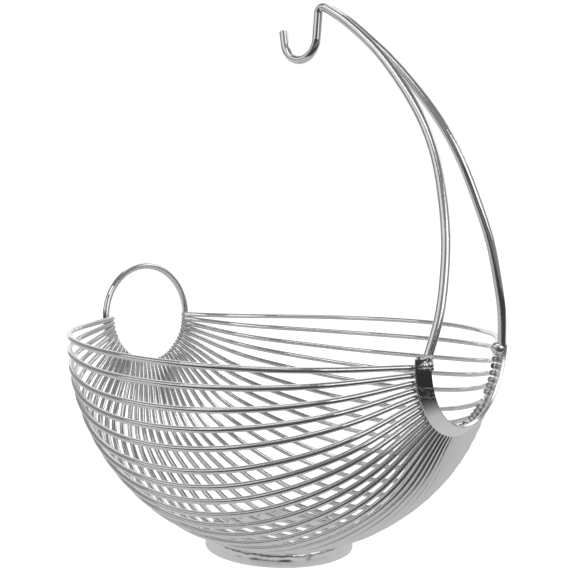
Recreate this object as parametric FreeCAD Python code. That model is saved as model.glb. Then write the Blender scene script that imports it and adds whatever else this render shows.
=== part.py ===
import FreeCAD, Part
import math
import os

# Fruit bowl of chromed steel wire with a handle hoop at one end and a banana hanger at the other.
# Frame: X from the hoop to the hanger, Y from the front to the back, Z up from the table.
# The pieces are drawn with the foot ring on the Z axis and moved at the end, so that the origin lies
# below the middle of the overall length. Lengths are in millimetres, angles in degrees.

# Round bars
WIRE_D = 3.5
HOOP_D = 4.5
ROD_D = 5.3
WELD = 0.03

# Bowl: each wire follows half an ellipse that hangs from the long axis at rim height. The lowest level
# is where the deepest ellipse would reach without the foot ring. Towards the hanger the rim sinks on
# the front side and rises on the back side.
RIM_HEIGHT = 138.2
RIM_OFFSET = 3.6
REACH_HOOP = 135.0
REACH_LOOP = 131.0
HALF_WIDTH = 141.6
LOWEST_LEVEL = 2.7
FRONT_SINK = 2.0
BACK_RISE = 4.2
BODY_ANGLES = (-54.0, -36.0, -18.0, 0.0, 18.0, 36.0, 54.0)

# Lie of each side wire at mid length, from the rim down. The hand laid fan is slightly uneven.
SIDE_ANGLES = (
    0.0, 5.1, 10.8, 15.9, 21.1, 27.6, 32.7, 37.7, 43.1,
    48.3, 53.6, 59.5, 65.3, 70.5, 75.4, 80.1, 84.9,
)
SIDE_WIRES = len(SIDE_ANGLES)
BODY_CLEARANCE = 1.45
SEAT_LIMIT = 0.96

# Handle hoop: an upright oval ring that leans a little away from the bowl
HOOP_X = -125.8
HOOP_ABOVE_RIM = 1.8
HOOP_HALF_WIDTH = 39.7
HOOP_HALF_HEIGHT = 36.1
HOOP_LEAN = 4.9
HOOP_STEPS = 24
HOOP_FIRST_FRONT = -1.0
HOOP_FIRST_BACK = 2.0
HOOP_CROWDING = 0.07
HOOP_TIP = 2.5
HOOP_WELD = 0.4

# Loop collar: a U of flat strip that flares towards the bowl
COLLAR_X = 135.2
COLLAR_ABOVE_RIM = 4.8
COLLAR_RADIUS = 43.8
COLLAR_WIDTH = 9.0
COLLAR_FLARE = 44.0
COLLAR_T = 2.4
COLLAR_DROP = 1.5
COLLAR_EDGE = 0.5
COLLAR_FIRST = 7.5
COLLAR_CROWDING = 0.1
COLLAR_TIP = 2.0
LUMP_R = 4.6
LUMP_INSET = 2.4

# Foot: a short flared ring of flat strip
FOOT_RADIUS = 48.5
FOOT_TOP_RADIUS = 47.3
FOOT_HEIGHT = 9.0
FOOT_T = 2.0
FOOT_EDGE = 0.6
BOTTOM_CLEARANCE = 4.2

# Hanger: two rods that rise from the collar, lean out, close up and reach back over the bowl.
# Each point has its X, its distance from the middle plane and its height above the rim.
PAIR_Y = ROD_D / 2 - WELD
HANGER_PATH = (
    (134.9, 37.5, 23.6),
    (134.0, 31.4, 44.6),
    (131.3, 26.1, 65.6),
    (124.8, 19.9, 89.6),
    (116.6, 14.9, 112.1),
    (103.6, 10.6, 135.6),
    (85.6, 6.8, 158.2),
    (69.0, 4.0, 175.4),
    (56.6, PAIR_Y, 186.0),
    (42.6, PAIR_Y, 196.8),
)
RUN_RISE = 30.0

# Banana hook at the end of the front rod
HOOK_X = 8.6
HOOK_ABOVE_RIM = 188.0
HOOK_R = 12.5
SHANK_LEAN = 3.4
TIP_LEAN = 10.4
TIP_LENGTH = 8.8
BEND_R = 3.6
BEND_ABOVE_RIM = 203.0
BACK_END_GAP = 1.6
END_CHAMFER = 0.5

wire_r = WIRE_D / 2
hoop_r = HOOP_D / 2
rod_r = ROD_D / 2
bowl_depth = RIM_HEIGHT - LOWEST_LEVEL
hoop_z = RIM_HEIGHT + HOOP_ABOVE_RIM
collar_z = RIM_HEIGHT + COLLAR_ABOVE_RIM
hook_z = RIM_HEIGHT + HOOK_ABOVE_RIM
bend_z = RIM_HEIGHT + BEND_ABOVE_RIM


def vec(x, y, z):
    return FreeCAD.Vector(x, y, z)


def unit(v):
    return v * (1.0 / v.Length)


def sin_d(angle):
    return math.sin(math.radians(angle))


def cos_d(angle):
    return math.cos(math.radians(angle))


def spline_edge(points, first=None, last=None):
    """One smooth edge through the points, with the end directions when they are given."""
    curve = Part.BSplineCurve()
    if first is None:
        curve.interpolate(points)
    else:
        curve.interpolate(Points=points, InitialTangent=first, FinalTangent=last)
    return curve.toShape()


def bar(edges, radius, plane_normal=None):
    """A round bar along connected edges, with flat ends. A bar that lies near a plane is given its normal."""
    start = edges[0].valueAt(edges[0].FirstParameter)
    heading = edges[0].tangentAt(edges[0].FirstParameter)
    section = Part.Wire([Part.makeCircle(radius, start, heading)])
    sweep = Part.BRepOffsetAPI.MakePipeShell(Part.Wire(edges))
    if plane_normal is not None:
        sweep.setBiNormalMode(plane_normal)
    sweep.add(section)
    sweep.build()
    sweep.makeSolid()
    return Part.Solid(sweep.shape().Shells[0])


def hoop_centre_point(angle):
    """Centre line of the hoop. Angle 0 is the front side, 90 the bottom, 180 the back side."""
    up = -HOOP_HALF_HEIGHT * sin_d(angle)
    y = -HOOP_HALF_WIDTH * cos_d(angle)
    return vec(HOOP_X - up * sin_d(HOOP_LEAN), y, hoop_z + up * cos_d(HOOP_LEAN))


def hoop_tangent(angle):
    up = -HOOP_HALF_HEIGHT * cos_d(angle)
    y = HOOP_HALF_WIDTH * sin_d(angle)
    return unit(vec(-up * sin_d(HOOP_LEAN), y, up * cos_d(HOOP_LEAN)))


def around_collar(x, radius, angle):
    """A point at a radius from the axis of the collar. Angle 0 is the front, 90 straight down."""
    return vec(x, -radius * cos_d(angle), collar_z - radius * sin_d(angle))


def axis_tangent(angle):
    return vec(0, sin_d(angle), -cos_d(angle))


def collar_lip(angle):
    """Inner edge of the collar on the side of the bowl, where the wires are welded."""
    x = COLLAR_X - COLLAR_WIDTH * cos_d(COLLAR_FLARE) - COLLAR_T / 2 * sin_d(COLLAR_FLARE)
    radius = COLLAR_RADIUS + COLLAR_WIDTH * sin_d(COLLAR_FLARE) - COLLAR_T / 2 * cos_d(COLLAR_FLARE)
    return around_collar(x, radius, angle)


seat_radius = FOOT_TOP_RADIUS - FOOT_T / 2
seat_z = FOOT_HEIGHT + wire_r - WELD
bottom_z = BOTTOM_CLEARANCE + wire_r


def bowl_point(side_angle, along):
    """A point of the bowl surface. Side angle 0 is the front rim, 90 the bottom, 180 the back rim."""
    reach = REACH_LOOP if along > 0 else REACH_HOOP
    x = RIM_OFFSET + reach * sin_d(along)
    y = -HALF_WIDTH * cos_d(side_angle) * cos_d(along)
    slant = BACK_RISE if y > 0 else FRONT_SINK
    z = RIM_HEIGHT - bowl_depth * sin_d(side_angle) * cos_d(along)
    z += slant * (x / reach) * (y / HALF_WIDTH)
    share = math.hypot(x, y) / seat_radius
    if share < 1:
        z = bottom_z + (seat_z - bottom_z) * share ** 2
    return vec(x, y, z)


def seat_points(side_angle):
    """Where a wire crosses the top of the foot ring, or nothing when it passes outside the ring."""
    y = -HALF_WIDTH * cos_d(side_angle)
    if abs(y) > SEAT_LIMIT * seat_radius:
        return []
    x = math.sqrt(seat_radius ** 2 - y ** 2)
    return [vec(-x, y, seat_z), vec(x, y, seat_z)]


def crossing(held, tangent, came_from, gap, bowl_side):
    """Contact of a wire that crosses a held line on its bowl side, with the heading that it has there."""
    heading = unit(held - came_from)
    aside = unit(tangent.cross(heading))
    if aside.x * bowl_side < 0:
        aside = aside * -1
    return held + aside * gap, heading


def bowl_wire(side_angle, hoop_angle, collar_angle):
    body = [bowl_point(side_angle, along) for along in BODY_ANGLES]
    seats = seat_points(side_angle)
    if seats:
        middle = body[len(body) // 2]
        clear = BODY_CLEARANCE * max(abs(seats[0].x), seat_radius / 2)
        body = [p for p in body if abs(p.x) > clear]
        before = [p for p in body if p.x < 0]
        after = [p for p in body if p.x > 0]
        body = before + [seats[0], middle, seats[1]] + after
    hoop_hold = hoop_centre_point(hoop_angle)
    hoop_gap = hoop_r + wire_r - HOOP_WELD
    hoop_touch, heading = crossing(hoop_hold, hoop_tangent(hoop_angle), body[0], hoop_gap, 1)
    hoop_end = hoop_touch + heading * HOOP_TIP
    lip = collar_lip(collar_angle)
    lip_gap = wire_r - WELD - COLLAR_EDGE * (math.sqrt(2) - 1)
    lip_touch, heading = crossing(lip, axis_tangent(collar_angle), body[-1], lip_gap, -1)
    lip_end = lip_touch + heading * COLLAR_TIP
    path = spline_edge([hoop_end, hoop_touch] + body + [lip_touch, lip_end])
    return bar([path], wire_r, axis_tangent(side_angle))


def make_hoop():
    points = [hoop_centre_point(360.0 * i / HOOP_STEPS) for i in range(HOOP_STEPS)]
    curve = Part.BSplineCurve()
    curve.interpolate(Points=points, PeriodicFlag=True)
    return bar([curve.toShape()], hoop_r, vec(cos_d(HOOP_LEAN), 0, sin_d(HOOP_LEAN)))


def make_collar():
    """Flared U of flat strip, with a weld lump at each top end."""
    along = vec(-cos_d(COLLAR_FLARE), 0, -sin_d(COLLAR_FLARE))
    across = vec(-sin_d(COLLAR_FLARE), 0, cos_d(COLLAR_FLARE)) * (COLLAR_T / 2)
    near = vec(COLLAR_X, 0, collar_z - COLLAR_RADIUS)
    far = near + along * COLLAR_WIDTH
    section = Part.makePolygon([near + across, far + across, far - across, near - across, near + across])
    start = Part.Face(section)
    start.rotate(vec(0, 0, collar_z), vec(1, 0, 0), 90 - COLLAR_DROP)
    collar = start.revolve(vec(0, 0, collar_z), vec(1, 0, 0), 2 * COLLAR_DROP - 180)
    lip_edges = [e for e in collar.Edges if e.Curve.TypeId == "Part::GeomCircle"]
    collar = collar.makeFillet(COLLAR_EDGE, lip_edges)
    for side in (-1, 1):
        foot = rod_foot(side)
        lump = Part.makeSphere(LUMP_R, foot + vec(-LUMP_INSET, 0, -LUMP_INSET))
        collar = collar.fuse(lump)
    return collar.removeSplitter()


def rod_foot(side):
    """Centre of the lower end of a hanger rod, on the top end of the collar."""
    depth = COLLAR_RADIUS * sin_d(COLLAR_DROP)
    return vec(COLLAR_X - COLLAR_T, side * COLLAR_RADIUS, collar_z - depth)


def run_points(side):
    lower = [rod_foot(side)]
    return lower + [vec(x, side * y, RIM_HEIGHT + up) for x, y, up in HANGER_PATH]


def xz(x, z, side):
    return vec(x, side * PAIR_Y, z)


def ring_point(cx, cz, radius, angle, side):
    return xz(cx + radius * cos_d(angle), cz + radius * sin_d(angle), side)


def bend_centre_x():
    shank_x = HOOK_X + HOOK_R * cos_d(SHANK_LEAN)
    shank_z = hook_z - HOOK_R * sin_d(SHANK_LEAN)
    bend_end_z = bend_z + BEND_R * sin_d(SHANK_LEAN)
    line_x = shank_x + (bend_end_z - shank_z) * math.tan(math.radians(SHANK_LEAN))
    return line_x + BEND_R * cos_d(SHANK_LEAN)


def bent_edge(cx, cz, radius, first, last):
    """A circular bend in the plane of the front rod."""
    points = [ring_point(cx, cz, radius, a, -1) for a in (first, (first + last) / 2, last)]
    return Part.Arc(*points).toShape()


def make_front_rod():
    """Rod that carries the banana hook."""
    cx = bend_centre_x()
    over = ring_point(cx, bend_z, BEND_R, 90 - RUN_RISE, -1)
    points = run_points(-1) + [over]
    away = vec(-cos_d(RUN_RISE), 0, sin_d(RUN_RISE))
    run = spline_edge(points, unit(points[1] - points[0]), away)
    bend = bent_edge(cx, bend_z, BEND_R, 90 - RUN_RISE, 180 - SHANK_LEAN)
    hook = bent_edge(HOOK_X, hook_z, HOOK_R, -SHANK_LEAN, -180 + TIP_LEAN)
    bend_end = ring_point(cx, bend_z, BEND_R, 180 - SHANK_LEAN, -1)
    hook_start = ring_point(HOOK_X, hook_z, HOOK_R, -SHANK_LEAN, -1)
    hook_end = ring_point(HOOK_X, hook_z, HOOK_R, -180 + TIP_LEAN, -1)
    tip = hook_end + vec(-sin_d(TIP_LEAN), 0, cos_d(TIP_LEAN)) * TIP_LENGTH
    shank = Part.makeLine(bend_end, hook_start)
    point = Part.makeLine(hook_end, tip)
    rod = bar([run, bend, shank, hook, point], rod_r)
    rim = [e for e in rod.Edges if e.BoundBox.Center.distanceToPoint(tip) < rod_r / 2]
    return rod.makeChamfer(END_CHAMFER, rim)


def make_back_rod():
    """Rod that ends on top, just behind the bend of the front rod."""
    cx = bend_centre_x()
    over = ring_point(cx, bend_z, BEND_R, 90 - RUN_RISE, 1)
    away = vec(-cos_d(RUN_RISE), 0, sin_d(RUN_RISE))
    points = run_points(1) + [over - away * BACK_END_GAP]
    return bar([spline_edge(points, unit(points[1] - points[0]), away)], rod_r)


def make_foot():
    """Ring of flat strip, slightly wider at the table."""
    low_in = vec(FOOT_RADIUS - FOOT_T, 0, 0)
    low_out = vec(FOOT_RADIUS, 0, 0)
    top_out = vec(FOOT_TOP_RADIUS, 0, FOOT_HEIGHT)
    top_in = vec(FOOT_TOP_RADIUS - FOOT_T, 0, FOOT_HEIGHT)
    section = Part.Face(Part.makePolygon([low_in, low_out, top_out, top_in, low_in]))
    ring = section.revolve(vec(0, 0, 0), vec(0, 0, 1), 360)
    low_rims = [e for e in ring.Edges if e.BoundBox.ZMax < WELD]
    return ring.makeFillet(FOOT_EDGE, low_rims)


def spread(first, index, crowding):
    """Angle of a wire end, counted from the rim, with the ends closer together towards the bottom."""
    share = index / SIDE_WIRES
    return first + (90 - first) * share * (1 + crowding - crowding * share)


parts = {}
parts["handle_hoop"] = make_hoop()
parts["foot_ring"] = make_foot()
parts["hanger_rod_front"] = make_front_rod()
parts["hanger_rod_back"] = make_back_rod()
collar = make_collar()
for name in ("hanger_rod_front", "hanger_rod_back"):
    collar = collar.cut(parts[name])
parts["loop_collar"] = max(collar.Solids, key=lambda s: s.Volume)
parts["wire_centre"] = bowl_wire(90, 90, 90)
for i in range(SIDE_WIRES):
    front_hoop = spread(HOOP_FIRST_FRONT, i, HOOP_CROWDING)
    back_hoop = spread(HOOP_FIRST_BACK, i, HOOP_CROWDING)
    at_collar = spread(COLLAR_FIRST, i, COLLAR_CROWDING)
    number = f"{i + 1:02d}"
    parts["wire_front_" + number] = bowl_wire(SIDE_ANGLES[i], front_hoop, at_collar)
    parts["wire_back_" + number] = bowl_wire(180 - SIDE_ANGLES[i], 180 - back_hoop, 180 - at_collar)

box = Part.makeCompound(list(parts.values())).optimalBoundingBox(False, False)
to_middle = vec(-box.Center.x, 0, 0)

os.makedirs("parts", exist_ok=True)
for name, shape in parts.items():
    shape.translate(to_middle)
    shape.exportStep("parts/" + name + ".step")
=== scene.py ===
import math

import bmesh
import bpy
import numpy as np
from bpy.props import FloatProperty, FloatVectorProperty, PointerProperty
from bpy.types import Operator, Panel, PropertyGroup
from mathutils import Matrix, Vector, noise


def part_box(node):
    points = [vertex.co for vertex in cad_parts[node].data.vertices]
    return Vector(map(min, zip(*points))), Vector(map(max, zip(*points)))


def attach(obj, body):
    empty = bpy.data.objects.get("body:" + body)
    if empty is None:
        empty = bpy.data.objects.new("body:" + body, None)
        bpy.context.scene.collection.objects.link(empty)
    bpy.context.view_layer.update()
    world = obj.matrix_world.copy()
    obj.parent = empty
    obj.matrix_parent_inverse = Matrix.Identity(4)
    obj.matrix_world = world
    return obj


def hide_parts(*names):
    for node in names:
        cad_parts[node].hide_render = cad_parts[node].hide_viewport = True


bl_info = {
    "name": "Wire fruit bowl with banana hanger",
    "version": (1, 0, 0),
    "blender": (4, 5, 0),
    "location": "3D View > Sidebar > Fruit Bowl",
    "description": "Chrome finishes, welds, floor and studio light for a wire fruit bowl",
    "category": "Object",
}

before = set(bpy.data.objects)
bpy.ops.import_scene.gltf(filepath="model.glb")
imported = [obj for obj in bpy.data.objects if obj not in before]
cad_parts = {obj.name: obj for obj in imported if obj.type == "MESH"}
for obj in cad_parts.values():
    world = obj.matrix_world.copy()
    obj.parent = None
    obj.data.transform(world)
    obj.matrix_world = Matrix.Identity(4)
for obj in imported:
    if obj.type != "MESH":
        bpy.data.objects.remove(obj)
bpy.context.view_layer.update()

MM = 0.001

# Sizes of the solids, in millimetres and degrees, that the welds and the foot strip are built around
WIRE_R = 1.75
HOOP_R = 2.25
RIM_HEIGHT = 138.2
RIM_OFFSET = 3.6
REACH_HOOP = 135.0
REACH_LOOP = 131.0
HALF_WIDTH = 141.6
DEPTH = 135.5
FRONT_SINK = 2.0
BACK_RISE = 4.2
SIDE_ANGLES = (
    0.0, 5.1, 10.8, 15.9, 21.1, 27.6, 32.7, 37.7, 43.1,
    48.3, 53.6, 59.5, 65.3, 70.5, 75.4, 80.1, 84.9,
)
LAST_BEND = 54.0
HOOP_X = -125.8
HOOP_Z = RIM_HEIGHT + 1.8
HOOP_HALF_WIDTH = 39.7
HOOP_HALF_HEIGHT = 36.1
HOOP_LEAN = 4.9
HOOP_FIRST_FRONT = -1.0
HOOP_FIRST_BACK = 2.0
HOOP_CROWDING = 0.07
HOOP_WELD = 0.4
COLLAR_X = 135.2
COLLAR_Z = RIM_HEIGHT + 4.8
COLLAR_RADIUS = 43.8
COLLAR_WIDTH = 9.0
COLLAR_FLARE = 44.0
COLLAR_T = 2.4
COLLAR_EDGE = 0.5
COLLAR_DROP = 1.5
COLLAR_FIRST = 7.5
COLLAR_CROWDING = 0.1
FOOT_HEIGHT = 9.0
FOOT_RADIUS = 48.5
FOOT_TOP_RADIUS = 47.3
FOOT_SEAT_RADIUS = 46.3
FOOT_T = 2.0
SEAT_LIMIT = 0.96
SEAT_SLOPE = 0.25


def linear(code):
    """The linear red, green and blue of an sRGB hex code."""
    parts = [int(code[i:i + 2], 16) / 255 for i in (1, 3, 5)]
    return [v / 12.92 if v <= 0.04045 else ((v + 0.055) / 1.055) ** 2.4 for v in parts]


class BowlFinish(PropertyGroup):
    chrome_colour: FloatVectorProperty(
        name="Chrome", description="Colour of the bright chrome plating", subtype="COLOR", size=3,
        min=0, max=1, default=linear("#E6E7E8"))
    strip_colour: FloatVectorProperty(
        name="Strip", description="Colour of the plating on the rolled strip", subtype="COLOR", size=3,
        min=0, max=1, default=linear("#F0F0F1"))
    weld_colour: FloatVectorProperty(
        name="Weld", description="Colour of the plating over weld metal", subtype="COLOR", size=3,
        min=0, max=1, default=linear("#DDDEE0"))
    wire_roughness: FloatProperty(
        name="Wire roughness", description="Roughness of the polished wire", subtype="FACTOR",
        min=0, max=1, default=0.045)
    strip_roughness: FloatProperty(
        name="Strip roughness", description="Roughness of the rolled strip", subtype="FACTOR",
        min=0, max=1, default=0.16)
    weld_roughness: FloatProperty(
        name="Weld roughness", description="Roughness of the plated welds", subtype="FACTOR",
        min=0, max=1, default=0.2)


class BowlWelds(PropertyGroup):
    hoop_fillet: FloatProperty(
        name="Hoop fillet", description="Size of the weld fillet at the hoop", subtype="DISTANCE",
        unit="LENGTH", min=0.0002, max=0.004, default=0.0015)
    collar_fillet: FloatProperty(
        name="Collar fillet", description="Size of the weld fillet at the collar", subtype="DISTANCE",
        unit="LENGTH", min=0.0002, max=0.004, default=0.0016)
    foot_fillet: FloatProperty(
        name="Foot fillet", description="Size of the weld fillet at the foot ring", subtype="DISTANCE",
        unit="LENGTH", min=0.0002, max=0.004, default=0.0018)


class BowlStage(PropertyGroup):
    floor_colour: FloatVectorProperty(
        name="Floor", description="Colour of the floor and the backdrop", subtype="COLOR", size=3,
        min=0, max=1, default=linear("#FFFFFF"))
    floor_size: FloatProperty(
        name="Floor size", description="Length of each side of the floor", subtype="DISTANCE", unit="LENGTH",
        min=2, max=40, default=12)
    right_power: FloatProperty(
        name="Right box", description="Power of the soft box on the right", unit="POWER", min=0, max=100,
        default=3.6)
    left_power: FloatProperty(
        name="Left box", description="Power of the soft box on the left", unit="POWER", min=0, max=100,
        default=2.0)
    top_power: FloatProperty(
        name="Top box", description="Power of the strip box above the camera", unit="POWER", min=0, max=100,
        default=2.4)
    rim_power: FloatProperty(
        name="Rim box", description="Power of the small box behind on the right", unit="POWER",
        min=0, max=100, default=1.1)
    azimuth: FloatProperty(
        name="Azimuth", description="Side from which the camera looks", subtype="ANGLE", unit="ROTATION",
        default=math.radians(38))
    elevation: FloatProperty(
        name="Elevation", description="Height of the camera as an angle", subtype="ANGLE", unit="ROTATION",
        default=math.radians(4.45))
    roll: FloatProperty(
        name="Roll", description="Turn of the camera about its own line of sight", subtype="ANGLE",
        unit="ROTATION", default=math.radians(1.5))
    distance: FloatProperty(
        name="Distance", description="Distance of the camera", subtype="DISTANCE", unit="LENGTH",
        min=0.2, max=5, default=0.6975)
    lens: FloatProperty(
        name="Lens", description="Focal length in millimetres", unit="CAMERA", min=20, max=200, default=67.82)


# Materials

def fill_stops(ramp, stops):
    """Puts grey levels, as sRGB hex codes, at their places on a colour ramp."""
    while len(ramp.elements) < len(stops):
        ramp.elements.new(0.5)
    for element, (place, code) in zip(ramp.elements, stops):
        element.position = place
        element.color = (*linear(code), 1)


def add_node(tree, kind, settings=(), stops=(), **links):
    """A node with its settings and ramp stops, and with values or other nodes' outputs on the named inputs."""
    node = tree.nodes.new(kind)
    for name, value in dict(settings).items():
        setattr(node, name, value)
    if stops:
        fill_stops(node.color_ramp, stops)
    for name, value in links.items():
        key = int(name[1:]) if name[0] == "_" else name.replace("_", " ")
        if isinstance(value, bpy.types.NodeSocket):
            tree.links.new(value, node.inputs[key])
        else:
            node.inputs[key].default_value = value
    return node


def plating(name, colour, roughness, wave_mm, wave_deep, grain_mm, grain_deep, haze):
    """Bright chrome over steel. The wave bends the reflections, and the grain is the finer unevenness."""
    material = bpy.data.materials.new(name)
    material.use_nodes = True
    tree = material.node_tree
    tree.nodes.clear()
    place = add_node(tree, "ShaderNodeTexCoord").outputs["Object"]
    wave = add_node(tree, "ShaderNodeTexNoise", Vector=place, Scale=1000 / wave_mm, Detail=2.0)
    grain = add_node(tree, "ShaderNodeTexNoise", Vector=place, Scale=1000 / grain_mm, Detail=3.0)
    cloud = add_node(tree, "ShaderNodeTexNoise", Vector=place, Scale=1000 / 18.0, Detail=4.0)
    dull = add_node(tree, "ShaderNodeMapRange", Value=cloud.outputs["Fac"], From_Min=0.35, From_Max=0.7,
                    To_Min=roughness, To_Max=roughness + haze)
    deep = [v * 0.93 for v in colour]
    tone = add_node(tree, "ShaderNodeMix", {"data_type": "RGBA"}, _0=cloud.outputs["Fac"],
                    _6=(*colour, 1), _7=(*deep, 1))
    coarse = add_node(tree, "ShaderNodeBump", Strength=1.0, Distance=wave_deep * MM,
                      Height=wave.outputs["Fac"])
    fine = add_node(tree, "ShaderNodeBump", Strength=1.0, Distance=grain_deep * MM,
                    Height=grain.outputs["Fac"], Normal=coarse.outputs["Normal"])
    shader = add_node(tree, "ShaderNodeBsdfPrincipled", Base_Color=tone.outputs[2], Metallic=1.0,
                      Roughness=dull.outputs["Result"], Normal=fine.outputs["Normal"])
    add_node(tree, "ShaderNodeOutputMaterial", Surface=shader.outputs["BSDF"])
    return material


def polished_chrome_wire(finish):
    """Nickel and chromium on drawn mild steel wire: mirror bright, with slow ripples from drawing."""
    return plating("polished_chrome_wire", finish.chrome_colour, finish.wire_roughness,
                   wave_mm=11.0, wave_deep=0.03, grain_mm=2.5, grain_deep=0.001, haze=0.04)


def polished_chrome_rod(finish):
    """The same plating on the thicker rods, which were bent on formers and carry longer ripples."""
    return plating("polished_chrome_rod", finish.chrome_colour, finish.wire_roughness,
                   wave_mm=16.0, wave_deep=0.05, grain_mm=3.0, grain_deep=0.0015, haze=0.04)


# The patch of the strip with weld lumps and a painted shade, in metres: its ragged lower border, the side of
# the bowl that it lies on, and the band of heights over which the two ridges run across it.
WELD_AND_SHADE_FROM, WELD_AND_SHADE_TO = 0.1232, 0.1246
WELD_AND_SHADE_SIDE_FROM, WELD_AND_SHADE_SIDE_TO = -0.028, -0.034
RIDGES_FROM, RIDGES_TO = 0.1205, 0.1405
RIDGE_AT = (0.345, 0.545)
RIDGE_HALF = 0.045
RAGGED_DEEP = 0.012
SPATTER_DEEP = 0.45 * MM


def satin_chrome_strip(finish):
    """Plated hot rolled strip, whose mill skin shows through as a soft haze and shallow dents.

    Welding left a lumpy patch with two ridges at the front leg of the collar; the darker colour of that patch
    is painted shade.
    """
    material = plating("satin_chrome_strip", finish.strip_colour, finish.strip_roughness,
                       wave_mm=6.0, wave_deep=0.06, grain_mm=2.0, grain_deep=0.004, haze=0.06)
    tree = material.node_tree
    shader = tree.nodes["Principled BSDF"]
    place = add_node(tree, "ShaderNodeTexCoord").outputs["Object"]
    ragged = add_node(tree, "ShaderNodeTexNoise", Vector=place, Scale=1000 / 4.0, Detail=4.0)
    lift = add_node(tree, "ShaderNodeVectorMath", {"operation": "MULTIPLY_ADD"}, _0=ragged.outputs["Color"],
                    _1=(0.0, 0.0, RAGGED_DEEP), _2=place)
    split = add_node(tree, "ShaderNodeSeparateXYZ", Vector=lift.outputs[0])
    # Mask of the weld patch: it carries both the weld lumps and the painted shade.
    high = add_node(tree, "ShaderNodeMapRange", Value=split.outputs["Z"], From_Min=WELD_AND_SHADE_FROM,
                    From_Max=WELD_AND_SHADE_TO)
    front = add_node(tree, "ShaderNodeMapRange", Value=split.outputs["Y"], From_Min=WELD_AND_SHADE_SIDE_FROM,
                     From_Max=WELD_AND_SHADE_SIDE_TO)
    weld_and_painted_shade = add_node(tree, "ShaderNodeMath", {"operation": "MULTIPLY"}, _0=high.outputs["Result"],
                     _1=front.outputs["Result"]).outputs[0]
    height = add_node(tree, "ShaderNodeMapRange", Value=split.outputs["Z"], From_Min=RIDGES_FROM,
                      From_Max=RIDGES_TO)
    stops = [(0.0, "#000000")]
    for peak in RIDGE_AT:
        stops += [(peak - RIDGE_HALF, "#000000"), (peak, "#A8A8A8"), (peak + RIDGE_HALF, "#000000")]
    ridges = add_node(tree, "ShaderNodeValToRGB", stops=stops, _0=height.outputs["Result"]).outputs["Color"]
    spatter = add_node(tree, "ShaderNodeTexNoise", Vector=place, Scale=1000 / 1.6, Detail=2.0)
    both = add_node(tree, "ShaderNodeMix", {"data_type": "RGBA", "blend_type": "ADD"}, _0=1.0, _6=ridges,
                    _7=spatter.outputs["Color"])
    depth = add_node(tree, "ShaderNodeMath", {"operation": "MULTIPLY"}, _0=weld_and_painted_shade, _1=0.9)
    rough = add_node(tree, "ShaderNodeBump", Strength=depth.outputs[0], Distance=SPATTER_DEEP,
                     Height=both.outputs[2], Normal=shader.inputs["Normal"].links[0].from_socket)
    tree.links.new(rough.outputs["Normal"], shader.inputs["Normal"])
    # Painted shade: the weld patch gets a darker base colour, #A4A5A7, that stands in for the dark reflection
    # there.
    tone = add_node(tree, "ShaderNodeMix", {"data_type": "RGBA"}, _0=weld_and_painted_shade,
                    _6=shader.inputs["Base Color"].links[0].from_socket, _7=(*linear("#A4A5A7"), 1))
    tree.links.new(tone.outputs[2], shader.inputs["Base Color"])
    return material


def chrome_over_weld(finish):
    """Plating over weld metal, which stays lumpy and a little dull."""
    return plating("chrome_over_weld", finish.weld_colour, finish.weld_roughness,
                   wave_mm=1.8, wave_deep=0.16, grain_mm=0.5, grain_deep=0.03, haze=0.15)


def dress(material, *starts):
    """Gives a finish to every CAD node whose name starts with one of the words."""
    for name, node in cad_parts.items():
        if name.startswith(starts):
            node.data.materials.clear()
            node.data.materials.append(material)


def mesh_piece(name, points, faces, material, smooth=True):
    """A new object of one material in the scene."""
    mesh = bpy.data.meshes.new(name)
    mesh.from_pydata(points, [], faces)
    if smooth:
        mesh.shade_smooth()
    mesh.materials.append(material)
    piece = bpy.data.objects.new(name, mesh)
    bpy.context.scene.collection.objects.link(piece)
    return piece


# Centre lines that the welds follow, in millimetres, drawn with the foot ring on the Z axis

def unit(v):
    return v / np.linalg.norm(v, axis=-1, keepdims=True)


def sin_d(angle):
    return math.sin(math.radians(angle))


def cos_d(angle):
    return math.cos(math.radians(angle))


def shift_x():
    """How far the solids were moved along X so that the origin lies under their middle."""
    low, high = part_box("foot_ring")
    return (low[0] + high[0]) / 2 / MM


def bowl_point(side_angle, along):
    reach = REACH_LOOP if along > 0 else REACH_HOOP
    x = RIM_OFFSET + reach * sin_d(along)
    y = -HALF_WIDTH * cos_d(side_angle) * cos_d(along)
    slant = BACK_RISE if y > 0 else FRONT_SINK
    z = RIM_HEIGHT - DEPTH * sin_d(side_angle) * cos_d(along)
    return np.array((x, y, z + slant * (x / reach) * (y / HALF_WIDTH)))


def hoop_point(angle):
    up = -HOOP_HALF_HEIGHT * sin_d(angle)
    return np.array((HOOP_X - up * sin_d(HOOP_LEAN), -HOOP_HALF_WIDTH * cos_d(angle),
                     HOOP_Z + up * cos_d(HOOP_LEAN)))


def hoop_tangent(angle):
    up = -HOOP_HALF_HEIGHT * cos_d(angle)
    return unit(np.array((-up * sin_d(HOOP_LEAN), HOOP_HALF_WIDTH * sin_d(angle), up * cos_d(HOOP_LEAN))))


def collar_lip(angle):
    x = COLLAR_X - COLLAR_WIDTH * cos_d(COLLAR_FLARE) - COLLAR_T / 2 * sin_d(COLLAR_FLARE)
    radius = COLLAR_RADIUS + COLLAR_WIDTH * sin_d(COLLAR_FLARE) - COLLAR_T / 2 * cos_d(COLLAR_FLARE)
    return np.array((x, -radius * cos_d(angle), COLLAR_Z - radius * sin_d(angle)))


def crossing(held, tangent, came_from, gap, bowl_side):
    """Centre of a wire where it crosses a held line, its heading, and the way from the line to the wire."""
    heading = unit(held - came_from)
    aside = unit(np.cross(tangent, heading))
    if aside[0] * bowl_side < 0:
        aside = -aside
    return held + aside * gap, heading, aside


def spread(first, index, crowding):
    share = index / len(SIDE_ANGLES)
    return first + (90 - first) * share * (1 + crowding - crowding * share)


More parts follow.
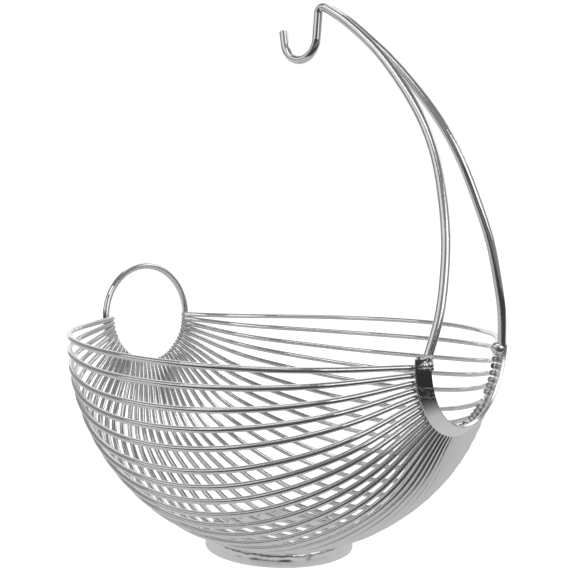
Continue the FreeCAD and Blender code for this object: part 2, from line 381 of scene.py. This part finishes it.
def each_wire():
    """Side angle, angle at the hoop and angle at the collar of every bowl wire."""
    yield 90.0, 90.0, 90.0
    for i, side in enumerate(SIDE_ANGLES):
        front = spread(HOOP_FIRST_FRONT, i, HOOP_CROWDING)
        back = spread(HOOP_FIRST_BACK, i, HOOP_CROWDING)
        loop = spread(COLLAR_FIRST, i, COLLAR_CROWDING)
        yield side, front, loop
        yield 180 - side, 180 - back, 180 - loop


# Distances to the surfaces that meet at a weld. Each takes rows of points.

def to_bar(points, start, heading, radius):
    arm = points - start
    along = np.sum(arm * heading, axis=-1, keepdims=True)
    return np.linalg.norm(arm - along * heading, axis=-1) - radius


def to_hoop(points):
    lean = np.array((-sin_d(HOOP_LEAN), 0, cos_d(HOOP_LEAN)))
    face = np.array((cos_d(HOOP_LEAN), 0, sin_d(HOOP_LEAN)))
    arm = points - np.array((HOOP_X, 0, HOOP_Z))
    u, v, w = arm[..., 1], arm @ lean, arm @ face
    size = np.sqrt((u / HOOP_HALF_WIDTH) ** 2 + (v / HOOP_HALF_HEIGHT) ** 2) + 1e-9
    slope = np.sqrt((u / HOOP_HALF_WIDTH ** 2) ** 2 + (v / HOOP_HALF_HEIGHT ** 2) ** 2) / size + 1e-9
    return np.hypot((size - 1) / slope, w) - HOOP_R


def to_slab(u, v, half_u, half_v, edge):
    du, dv = np.abs(u) - half_u + edge, np.abs(v) - half_v + edge
    outside = np.hypot(np.maximum(du, 0), np.maximum(dv, 0))
    return outside + np.minimum(np.maximum(du, dv), 0) - edge


def to_collar(points):
    x, radius = points[..., 0] - COLLAR_X, np.hypot(points[..., 1], points[..., 2] - COLLAR_Z) - COLLAR_RADIUS
    u = -x * cos_d(COLLAR_FLARE) + radius * sin_d(COLLAR_FLARE) - COLLAR_WIDTH / 2
    v = -x * sin_d(COLLAR_FLARE) - radius * cos_d(COLLAR_FLARE)
    return to_slab(u, v, COLLAR_WIDTH / 2, COLLAR_T / 2, COLLAR_EDGE)


def to_foot(points):
    radius = np.hypot(points[..., 0], points[..., 1]) - FOOT_SEAT_RADIUS
    return to_slab(radius, points[..., 2] - FOOT_HEIGHT / 2, FOOT_T / 2, FOOT_HEIGHT / 2, 0.1)


def blend(a, b, size):
    """Two surfaces joined with a hollow fillet of that size."""
    near = np.maximum(size - np.abs(a - b), 0) / size
    return np.minimum(a, b) - near * near * size / 4


def bead_ball(steps):
    """Directions and faces of a round ball of triangles."""
    ball = bmesh.new()
    bmesh.ops.create_icosphere(ball, subdivisions=steps, radius=1)
    ball.verts.ensure_lookup_table()
    directions = np.array([v.co[:] for v in ball.verts])
    faces = [[v.index for v in f.verts] for f in ball.faces]
    ball.free()
    return unit(directions), faces


# How far a bead stays under the metal that it joins, and how often the search for its surface is halved
SINK = 0.05
HALVINGS = 14


def weld_bead(directions, middle, distance, reach):
    """Surface of a weld: how far the joined metal reaches from the middle of the weld in every direction."""
    near = np.zeros(len(directions))
    far = np.full(len(directions), reach)
    for _ in range(HALVINGS):
        half = (near + far) / 2
        inside = distance(middle + directions * half[:, None]) + SINK < 0
        near = np.where(inside, half, near)
        far = np.where(inside, far, half)
    return middle + directions * near[:, None]


def weld_piece(name, beads, material, steps=3):
    """One object of many weld beads. Each bead is a middle, a distance function and a reach."""
    directions, faces = bead_ball(steps)
    offset = np.array((shift_x(), 0, 0))
    points, polygons = [], []
    for i, (middle, distance, reach) in enumerate(beads):
        points.append((weld_bead(directions, middle, distance, reach) + offset) * MM)
        polygons += [[i * len(directions) + k for k in face] for face in faces]
    piece = mesh_piece(name, np.concatenate(points).tolist(), polygons, material)
    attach(piece, "root")


RING_TURNS = 360
RING_WOBBLE = 0.22


def rolled_ring(name, profile, turns, wobble, material):
    """A ring turned from a closed profile of radius and height, slightly uneven, as rolled strip is."""
    steps = len(profile)
    offset = shift_x()
    points, polygons = [], []
    for i in range(turns):
        a = 2 * math.pi * i / turns
        for radius, height, free in profile:
            spot = Vector((radius * math.cos(a), radius * math.sin(a), height))
            push = free * wobble * (noise.noise(spot / 7.0) + 0.6 * noise.noise(spot / 2.6))
            points.append(((offset + (radius + push) * math.cos(a)) * MM, (radius + push) * math.sin(a) * MM,
                           (height + push * 0.5 * free) * MM))
        for j in range(steps):
            k, m = (i + 1) % turns, (j + 1) % steps
            polygons.append((i * steps + j, k * steps + j, k * steps + m, i * steps + m))
    piece = mesh_piece(name, points, polygons, material)
    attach(piece, "root")
    return piece


SHOULDER = (46.4, 5.4, 1.3, 3.6)


def foot_profile():
    """Strip section of the foot ring: straight face, rounded shoulder under the wires, flat seat, inner face.

    Each point has its radius, its height and how freely it waves.
    """
    slope = (FOOT_RADIUS - FOOT_TOP_RADIUS) / FOOT_HEIGHT
    outer = [(48.0, 0.0, 0), (48.3, 0.15, 0)]
    outer += [(FOOT_RADIUS - slope * z, z, 0) for z in (0.7, 1.6, 2.6, 3.6, 4.6)]
    middle, level, across, up = SHOULDER
    turn = [(middle + across * cos_d(t), level + up * sin_d(t), 1.0) for t in range(0, 76, 8)]
    inner = [(46.4, FOOT_HEIGHT, 0), (45.5, FOOT_HEIGHT, 0), (45.3, FOOT_HEIGHT - 0.3, 0), (46.45, 0.4, 0),
             (46.7, 0.0, 0)]
    return outer + turn + inner


# Drops of weld metal on the rod feet, from the end of the rod: along X, outwards from the middle plane, up,
# and the radius.
FRONT_DROPS = ((-2.6, 3.6, -4.2, 2.2), (-0.4, 2.6, -3.4, 2.4), (2.0, 0.6, -3.0, 2.3), (-1.6, 2.2, -0.8, 2.1),
               (1.2, 0.6, 0.2, 2.6), (2.2, -0.6, -5.2, 1.7))
BACK_DROPS = ((-2.6, -0.8, -3.6, 2.2), (-1.6, -1.8, -1.4, 1.9), (0.0, 0.4, -1.0, 2.5), (-2.4, 0.2, -6.0, 1.8))
DROPS_MIDDLE = -2.0
DROPS_REACH = 8.0
DROPS_FILLET = 0.9


def drops_at(side):
    """The middle of the drops at the foot of one hanger rod, and the centre and radius of each drop."""
    end = np.array((COLLAR_X - COLLAR_T, side * COLLAR_RADIUS, COLLAR_Z - COLLAR_RADIUS * sin_d(COLLAR_DROP)))
    drops = FRONT_DROPS if side < 0 else BACK_DROPS
    return end + (0, 0, DROPS_MIDDLE), [(end + np.array((x, side * y, z)), r) for x, y, z, r in drops]


def to_drops(points, drops):
    """Distance to drops that ran together, with the small waves that weld metal freezes in."""
    reach = None
    for spot, radius in drops:
        ball = np.linalg.norm(points - spot, axis=-1) - radius
        reach = ball if reach is None else blend(reach, ball, DROPS_FILLET)
    return reach - 0.16 * np.sin(points[..., 0] * 2.9 + points[..., 2] * 1.3) * np.sin(points[..., 1] * 2.3)


def finish_of(context):
    return context.scene.fruit_bowl_finish


def material_once(maker, context):
    """A finish that several operators share."""
    return bpy.data.materials.get(maker.__name__) or maker(finish_of(context))


class FRUITBOWL_OT_wires(Operator):
    """Chromes the bent wires of the bowl"""

    bl_idname = "fruitbowl.wires"
    bl_label = "Bowl wires"

    def execute(self, context):
        dress(material_once(polished_chrome_wire, context), "wire_")
        return {"FINISHED"}


class FRUITBOWL_OT_rods(Operator):
    """Chromes the handle hoop and the two rods of the hanger"""

    bl_idname = "fruitbowl.rods"
    bl_label = "Hoop and hanger rods"

    def execute(self, context):
        dress(material_once(polished_chrome_rod, context), "hanger_rod", "handle_hoop")
        return {"FINISHED"}


class FRUITBOWL_OT_strips(Operator):
    """Chromes the collar and turns the foot ring with its rounded shoulder"""

    bl_idname = "fruitbowl.strips"
    bl_label = "Collar and foot strip"

    def execute(self, context):
        strip = material_once(satin_chrome_strip, context)
        dress(strip, "loop_collar", "foot_ring")
        ring = rolled_ring("foot_strip", foot_profile(), RING_TURNS, RING_WOBBLE, strip)
        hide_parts("foot_ring")
        return {"FINISHED"}


class FRUITBOWL_OT_rod_feet(Operator):
    """Lays the lumps of weld round the feet of the two hanger rods"""

    bl_idname = "fruitbowl.rod_feet"
    bl_label = "Welds at the rod feet"

    def execute(self, context):
        for name, side in (("rod_foot_weld_front", -1), ("rod_foot_weld_back", 1)):
            middle, drops = drops_at(side)

            def distance(points, drops=drops):
                return to_drops(points, drops)

            weld_piece(name, [(middle, distance, DROPS_REACH)], material_once(polished_chrome_rod, context),
                       steps=6)
        return {"FINISHED"}


class FRUITBOWL_OT_hoop_welds(Operator):
    """Welds every bowl wire to the handle hoop"""

    bl_idname = "fruitbowl.hoop_welds"
    bl_label = "Welds at the hoop"

    def execute(self, context):
        fillet = context.scene.fruit_bowl_welds.hoop_fillet / MM
        beads = []
        for side, angle, _ in each_wire():
            gap = HOOP_R + WIRE_R - HOOP_WELD
            centre, heading, aside = crossing(
                hoop_point(angle), hoop_tangent(angle), bowl_point(side, -LAST_BEND), gap, 1)

            def distance(p, centre=centre, heading=heading):
                return blend(to_bar(p, centre, heading, WIRE_R), to_hoop(p), fillet)

            beads.append((centre - aside * (WIRE_R - HOOP_WELD / 2), distance, 2.6 * WIRE_R))
        weld_piece("hoop_welds", beads, material_once(chrome_over_weld, context))
        return {"FINISHED"}


class FRUITBOWL_OT_collar_welds(Operator):
    """Welds every bowl wire to the inner edge of the collar"""

    bl_idname = "fruitbowl.collar_welds"
    bl_label = "Welds at the collar"

    def execute(self, context):
        fillet = context.scene.fruit_bowl_welds.collar_fillet / MM
        beads = []
        for side, _, angle in each_wire():
            tangent = np.array((0, sin_d(angle), -cos_d(angle)))
            centre, heading, aside = crossing(
                collar_lip(angle), tangent, bowl_point(side, LAST_BEND), WIRE_R - COLLAR_EDGE * 0.41, -1)

            def distance(p, centre=centre, heading=heading):
                return blend(to_bar(p, centre, heading, WIRE_R), to_collar(p), fillet)

            beads.append((centre - aside * (WIRE_R - 0.1), distance, 1.5 * WIRE_R))
        weld_piece("collar_welds", beads, material_once(chrome_over_weld, context))
        return {"FINISHED"}


class FRUITBOWL_OT_foot_welds(Operator):
    """Welds the lowest wires to the top of the foot ring"""

    bl_idname = "fruitbowl.foot_welds"
    bl_label = "Welds at the foot"

    def execute(self, context):
        fillet = context.scene.fruit_bowl_welds.foot_fillet / MM
        beads = []
        for side, _, _ in each_wire():
            y = -HALF_WIDTH * cos_d(side)
            if abs(y) > SEAT_LIMIT * FOOT_SEAT_RADIUS:
                continue
            for end in (-1, 1):
                x = end * math.sqrt(FOOT_SEAT_RADIUS ** 2 - y ** 2)
                centre = np.array((x, y, FOOT_HEIGHT + WIRE_R))
                heading = unit(np.array((1, 0, end * SEAT_SLOPE)))

                def distance(p, centre=centre, heading=heading):
                    return blend(to_bar(p, centre, heading, WIRE_R), to_foot(p), fillet)

                beads.append((centre - np.array((0, 0, WIRE_R + 0.1)), distance, 2.4 * WIRE_R))
        weld_piece("foot_welds", beads, material_once(chrome_over_weld, context))
        return {"FINISHED"}


# Stage. Lengths are in metres, azimuths and heights in degrees.

MIDDLE = Vector((0, 0, 0.15))
TENT_R = 2.2
TENT_GAP = 32
TENT_GAP_AZIMUTH = 218
TENT_FOOT = -4
TENT_TURNS, TENT_RISES = 48, 16
TABLE_LIFT = 0.0003
LAMP_AWAY = 1.5
CAMERA_AIM = Vector((-2.86, 0.31, 169.94)) * MM
SENSOR_MM = 36
FLOOR_OWN_WHITE = 0.68
# Each soft box: azimuth, height, width, length and the setting that holds its power
SOFT_BOXES = {
    "right_box": (84, 23, 1.2, 0.85, "right_power"),
    "left_box": (-22, 26, 1.5, 0.7, "left_power"),
    "top_box": (12, 57, 1.3, 0.47, "top_power"),
    "rim_box": (154, 32, 0.6, 0.5, "rim_power"),
}


def around(azimuth, elevation, distance=1.0):
    """A direction of that length, by compass turn from the hoop-to-collar side and by height, in degrees."""
    a, e = math.radians(azimuth), math.radians(elevation)
    return Vector((math.sin(a) * math.cos(e), -math.cos(a) * math.cos(e), math.sin(e))) * distance


def seen_plain(tree):
    """1 for the rays that see the plain background: the camera's, and those that leave metal or glass."""
    path = add_node(tree, "ShaderNodeLightPath").outputs
    gloss = add_node(tree, "ShaderNodeMath", {"operation": "MAXIMUM"}, _0=path["Is Camera Ray"],
                     _1=path["Is Glossy Ray"])
    return add_node(tree, "ShaderNodeMath", {"operation": "MAXIMUM"}, _0=gloss.outputs[0],
                    _1=path["Is Transmission Ray"]).outputs[0]


def floor_material(stage):
    """Matt white sweep. Most of its white is its own, and the rest is light that the object can shade."""
    material = bpy.data.materials.new("matt_white_sweep")
    material.use_nodes = True
    tree = material.node_tree
    tree.nodes.clear()
    colour = (*stage.floor_colour, 1)
    matt = add_node(tree, "ShaderNodeBsdfDiffuse", Color=colour)
    share = add_node(tree, "ShaderNodeMath", {"operation": "MULTIPLY"}, _0=seen_plain(tree),
                     _1=FLOOR_OWN_WHITE)
    own = add_node(tree, "ShaderNodeEmission", Color=colour, Strength=share.outputs[0])
    both = add_node(tree, "ShaderNodeAddShader", _0=matt.outputs[0], _1=own.outputs[0])
    add_node(tree, "ShaderNodeOutputMaterial", Surface=both.outputs[0])
    return material


def glow(name, make):
    """A card that glows with the greys that make() paints on it, as a painted reflection, with no light of its
    own on the object.
    """
    material = bpy.data.materials.new(name)
    material.use_nodes = True
    tree = material.node_tree
    tree.nodes.clear()
    place = add_node(tree, "ShaderNodeTexCoord").outputs["Object"]
    shine = add_node(tree, "ShaderNodeEmission", Color=make(tree, place), Strength=1.0)
    add_node(tree, "ShaderNodeOutputMaterial", Surface=shine.outputs[0])
    return material


def along(tree, place, direction, low, high):
    """How far a place lies along a direction, as 0 to 1 between two limits."""
    reach = add_node(tree, "ShaderNodeVectorMath", {"operation": "DOT_PRODUCT"}, _0=place,
                     _1=tuple(direction))
    return add_node(tree, "ShaderNodeMapRange", Value=reach.outputs["Value"], From_Min=low,
                    From_Max=high).outputs["Result"]


def tent_greys(tree, place):
    """Painted light on the cloth round the set, which only the metal sees: dark where the camera stands, paler
    behind the object and overhead.
    """
    facing = along(tree, place, around(23, 0), -TENT_R, TENT_R)
    stops = ((0.0, "#C8C8C8"), (0.1, "#AAAAAA"), (0.4, "#929292"), (0.63, "#8C8C8C"), (0.85, "#585858"),
             (0.95, "#464646"))
    walls = add_node(tree, "ShaderNodeValToRGB", stops=stops, _0=facing).outputs["Color"]
    height = along(tree, place, (0, 0, 1), 0.1 * TENT_R, 0.3 * TENT_R)
    upper = add_node(tree, "ShaderNodeMix", {"data_type": "RGBA", "blend_type": "LIGHTEN"}, _0=height,
                     _6=walls, _7=(*linear("#8E8E8E"), 1)).outputs[2]
    crown = along(tree, place, (0, 0, 1), 0.65 * TENT_R, 0.85 * TENT_R)
    return add_node(tree, "ShaderNodeMix", {"data_type": "RGBA"}, _0=crown, _6=upper,
                    _7=(*linear("#808080"), 1)).outputs[2]


def table_greys(tree, place):
    """Painted reflection of the table for the metal: pale near the object, dark from a little way out towards
    the front, greyer farther off.
    """
    front = along(tree, place, around(58, 0), 0.1, 1.1)
    stops = ((0.0, "#CDCDCD"), (0.065, "#C4C4C4"), (0.11, "#4A4A4A"), (0.5, "#424242"), (0.8, "#808080"))
    return add_node(tree, "ShaderNodeValToRGB", stops=stops, _0=front).outputs["Color"]


def square(half):
    """Corners and face of a flat square round the origin."""
    return [(-half, -half, 0), (half, -half, 0), (half, half, 0), (-half, half, 0)], [(0, 1, 2, 3)]


def tent_shape():
    """Half ball of cloth with an opening behind the object."""
    width = TENT_TURNS + 1
    turns = [TENT_GAP_AZIMUTH + TENT_GAP + (360 - 2 * TENT_GAP) * i / TENT_TURNS for i in range(width)]
    rises = [TENT_FOOT + (90 - TENT_FOOT) * j / TENT_RISES for j in range(TENT_RISES + 1)]
    points = [tuple(around(turn, rise, TENT_R)) for rise in rises for turn in turns]
    faces = [(j * width + i, j * width + i + 1, (j + 1) * width + i + 1, (j + 1) * width + i)
             for j in range(TENT_RISES) for i in range(TENT_TURNS)]
    return points, faces


def card(name, points, faces, material, place=(0, 0, 0)):
    """A studio card that only metal and glass see."""
    piece = mesh_piece(name, points, faces, material, smooth=False)
    piece.location = place
    piece.visible_camera = piece.visible_diffuse = piece.visible_shadow = False


def soft_box(name, azimuth, elevation, width, height, power):
    """A rectangular lamp that faces the object."""
    lamp = bpy.data.lights.new(name, "AREA")
    lamp.shape = "RECTANGLE"
    lamp.size, lamp.size_y, lamp.energy = width, height, power
    holder = bpy.data.objects.new(name, lamp)
    holder.location = MIDDLE + around(azimuth, elevation, LAMP_AWAY)
    holder.rotation_euler = around(azimuth, elevation).to_track_quat("Z", "Y").to_euler()
    holder.visible_camera = False
    bpy.context.scene.collection.objects.link(holder)


class FRUITBOWL_OT_stage(Operator):
    """Adds the floor, the studio light and the camera"""

    bl_idname = "fruitbowl.stage"
    bl_label = "Stage"

    def execute(self, context):
        stage = context.scene.fruit_bowl_stage
        floor = mesh_piece("floor", *square(stage.floor_size / 2), floor_material(stage), smooth=False)
        # The tent and the table are painted reflections: glowing cards that only the metal sees.
        card("grey_tent", *tent_shape(), glow("grey_cloth", tent_greys), MIDDLE)
        card("white_table", *square(TENT_R), glow("table_in_the_metal", table_greys), (0, 0, TABLE_LIFT))

        world = bpy.data.worlds.new("studio")
        context.scene.world = world
        world.use_nodes = True
        tree = world.node_tree
        tree.nodes.clear()
        fill = add_node(tree, "ShaderNodeBackground", Color=(*linear("#BCBCBC"), 1), Strength=1.0)
        white = add_node(tree, "ShaderNodeBackground", Color=(*stage.floor_colour, 1), Strength=1.0)
        mix = add_node(tree, "ShaderNodeMixShader", _0=seen_plain(tree), _1=fill.outputs[0],
                       _2=white.outputs[0])
        add_node(tree, "ShaderNodeOutputWorld", Surface=mix.outputs[0])

        for name, (azimuth, elevation, width, height, power) in SOFT_BOXES.items():
            soft_box(name, azimuth, elevation, width, height, getattr(stage, power))

        lens = bpy.data.cameras.new("camera")
        lens.lens = stage.lens
        lens.sensor_width = SENSOR_MM
        camera = bpy.data.objects.new("camera", lens)
        context.scene.collection.objects.link(camera)
        spot = CAMERA_AIM + around(math.degrees(stage.azimuth), math.degrees(stage.elevation), stage.distance)
        view = (CAMERA_AIM - spot).to_track_quat("-Z", "Y").to_matrix().to_4x4()
        camera.matrix_world = Matrix.Translation(spot) @ (view @ Matrix.Rotation(stage.roll, 4, "Z"))
        context.scene.camera = camera
        context.scene.view_settings.view_transform = "Standard"
        return {"FINISHED"}


STEPS = (
    FRUITBOWL_OT_wires, FRUITBOWL_OT_rods, FRUITBOWL_OT_strips, FRUITBOWL_OT_rod_feet,
    FRUITBOWL_OT_hoop_welds, FRUITBOWL_OT_collar_welds, FRUITBOWL_OT_foot_welds, FRUITBOWL_OT_stage,
)


class FRUITBOWL_PT_panel(Panel):
    """Lists the steps that dress the fruit bowl and their settings"""

    bl_idname = "FRUITBOWL_PT_panel"
    bl_label = "Fruit Bowl"
    bl_space_type = "VIEW_3D"
    bl_region_type = "UI"
    bl_category = "Fruit Bowl"

    def draw(self, context):
        for step in STEPS:
            self.layout.operator(step.bl_idname)
        for settings in (context.scene.fruit_bowl_finish, context.scene.fruit_bowl_welds,
                         context.scene.fruit_bowl_stage):
            box = self.layout.box()
            for name in settings.__annotations__:
                box.prop(settings, name)


CLASSES = (BowlFinish, BowlWelds, BowlStage, *STEPS, FRUITBOWL_PT_panel)


def register():
    for item in CLASSES:
        bpy.utils.register_class(item)
    bpy.types.Scene.fruit_bowl_finish = PointerProperty(type=BowlFinish)
    bpy.types.Scene.fruit_bowl_welds = PointerProperty(type=BowlWelds)
    bpy.types.Scene.fruit_bowl_stage = PointerProperty(type=BowlStage)


def unregister():
    del bpy.types.Scene.fruit_bowl_stage
    del bpy.types.Scene.fruit_bowl_welds
    del bpy.types.Scene.fruit_bowl_finish
    for item in reversed(CLASSES):
        bpy.utils.unregister_class(item)


def main():
    register()
    bpy.ops.fruitbowl.wires()
    bpy.ops.fruitbowl.rods()
    bpy.ops.fruitbowl.strips()
    bpy.ops.fruitbowl.rod_feet()
    bpy.ops.fruitbowl.hoop_welds()
    bpy.ops.fruitbowl.collar_welds()
    bpy.ops.fruitbowl.foot_welds()
    bpy.ops.fruitbowl.stage()


if __name__ == "__main__":
    main()
